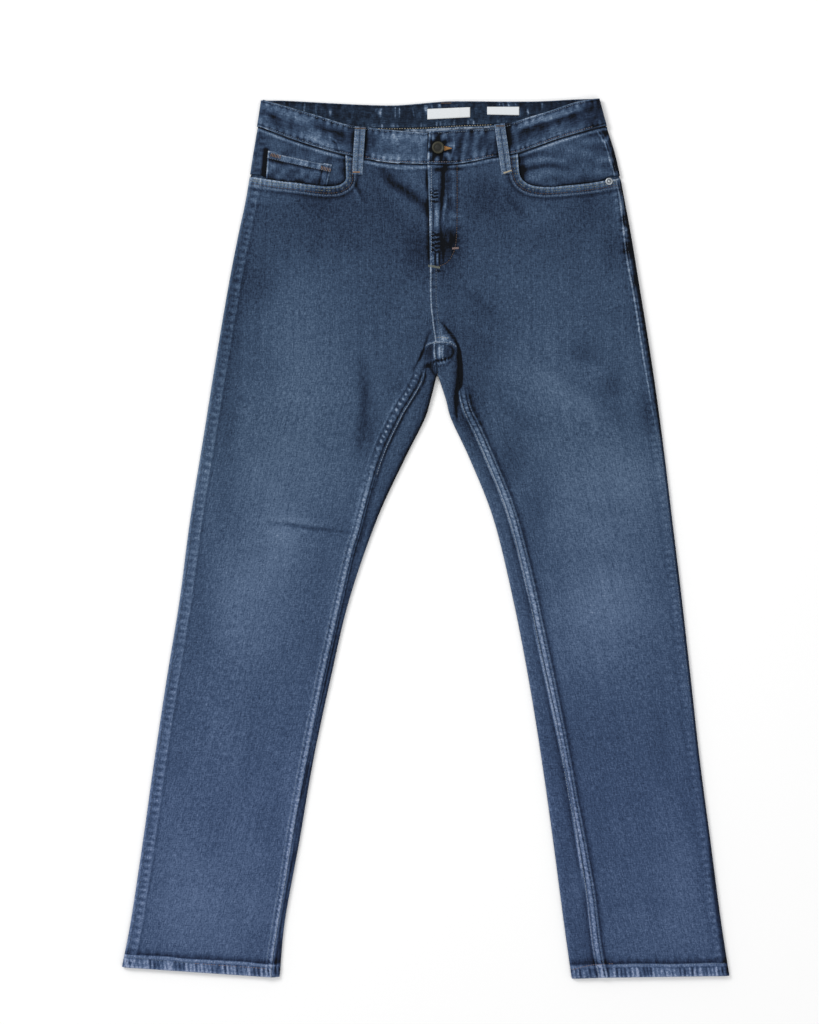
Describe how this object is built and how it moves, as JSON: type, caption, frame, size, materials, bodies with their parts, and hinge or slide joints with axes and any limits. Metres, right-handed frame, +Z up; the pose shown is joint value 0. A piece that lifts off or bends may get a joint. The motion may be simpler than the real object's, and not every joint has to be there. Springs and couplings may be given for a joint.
{
  "type": "slim fit jeans",
  "caption": "Slim fit five-pocket denim jeans, laid flat with the front up and the legs apart, with fly, waistband, belt loops and coin pocket.",
  "frame": {"origin": "middle of the whole outline, on the surface that the jeans lie on", "axes": "+X towards the wearer's left leg, +Y towards the waist, +Z up out of the front"},
  "size_m": [0.7512, 1.0854, 0.0138],
  "materials": {
    "denim": "washed indigo stretch denim, three-by-one twill, slightly fuzzy, with soft fading on thighs and knees",
    "label": "off-white woven satin label, blank",
    "button_brass": "dark antique brass, worn at the rim",
    "rivet_steel": "worn nickel-plated rivet",
    "zip_tape": "navy zip tape with a row of metal teeth, hidden under the fly"
  },
  "bodies": {
    "root": {"front_right": "denim", "front_left": "denim", "back_right": "denim", "back_left": "denim", "yoke_right": "denim", "yoke_left": "denim", "waistband": "denim", "loop_front_right": "denim", "loop_front_left": "denim", "loop_back_right": "denim", "loop_back_centre": "denim", "loop_back_left": "denim", "facing_right": "denim", "facing_left": "denim", "coin_pocket": "denim", "back_pocket_right": "denim", "back_pocket_left": "denim", "label_main": "label", "label_size": "label", "button": "button_brass", "rivet": "rivet_steel", "zip": "zip_tape"}
  },
  "joints": []
}
